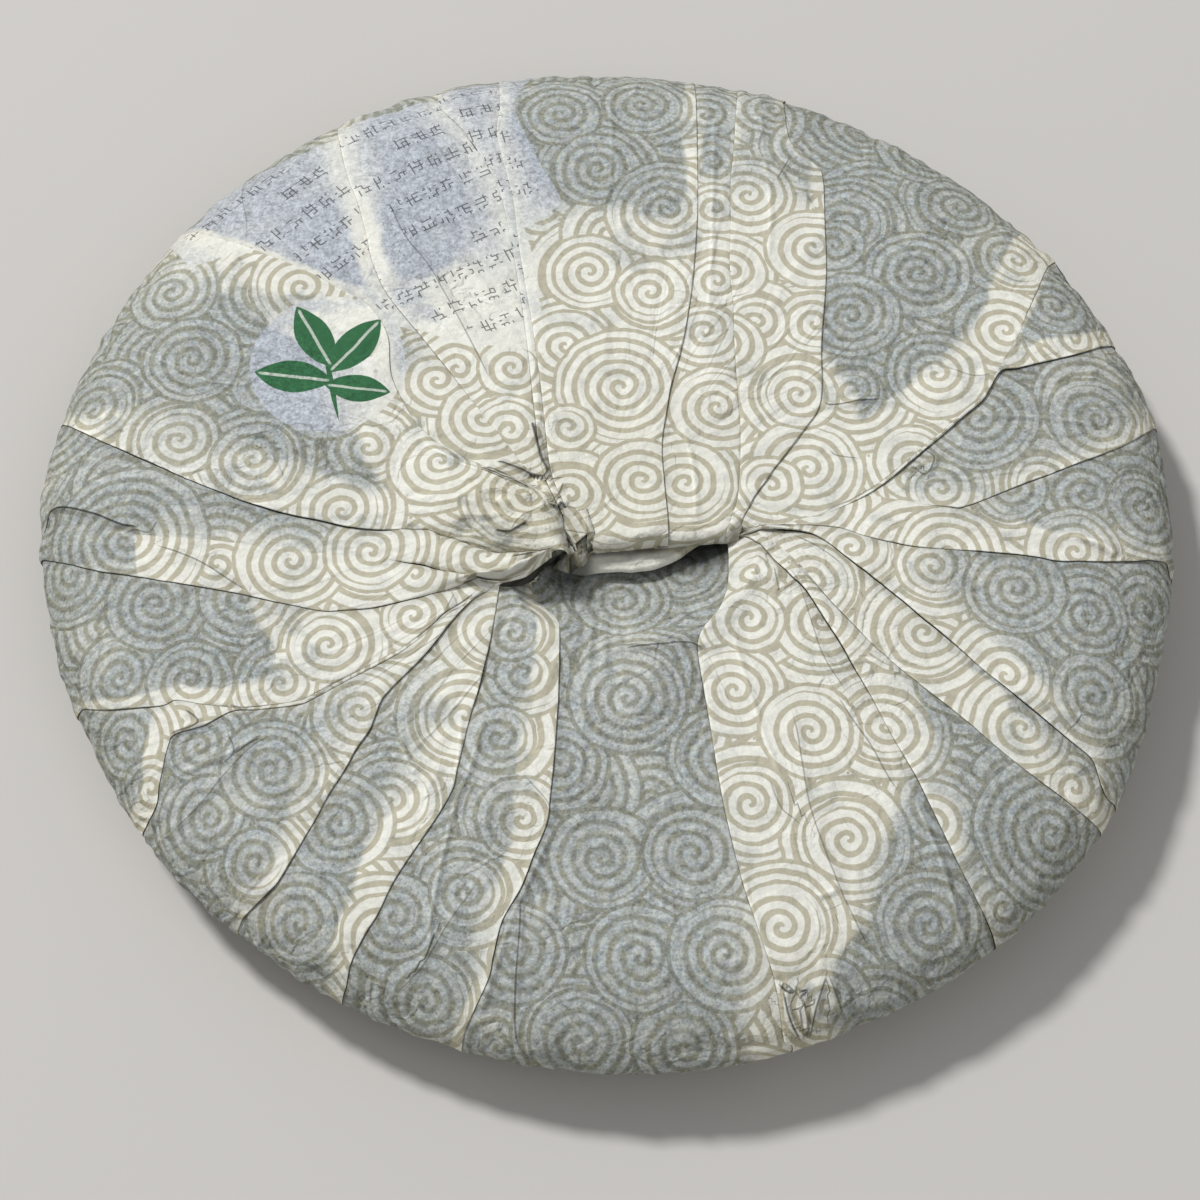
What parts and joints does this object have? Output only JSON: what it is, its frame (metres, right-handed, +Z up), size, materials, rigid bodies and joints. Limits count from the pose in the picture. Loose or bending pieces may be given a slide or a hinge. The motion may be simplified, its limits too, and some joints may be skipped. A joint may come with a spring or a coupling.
{
  "type": "paper-wrapped pu erh tea cake",
  "caption": "Round pressed tea cake in pleated, spiral-printed paper, gathered and twisted over a shallow dimple, resting on its domed underside.",
  "frame": {"origin": "bottom centre of the bounding box, on the surface that the cake rests on", "axes": "+Z up out of the gathered side, +Y away from the viewer of the picture, +X to the viewer's right"},
  "size_m": [0.201, 0.2003, 0.0256],
  "materials": {
    "wrapper_paper": "matt thin printed paper"
  },
  "bodies": {
    "root": {"wrapped_tea_cake": "wrapper_paper"}
  },
  "joints": []
}
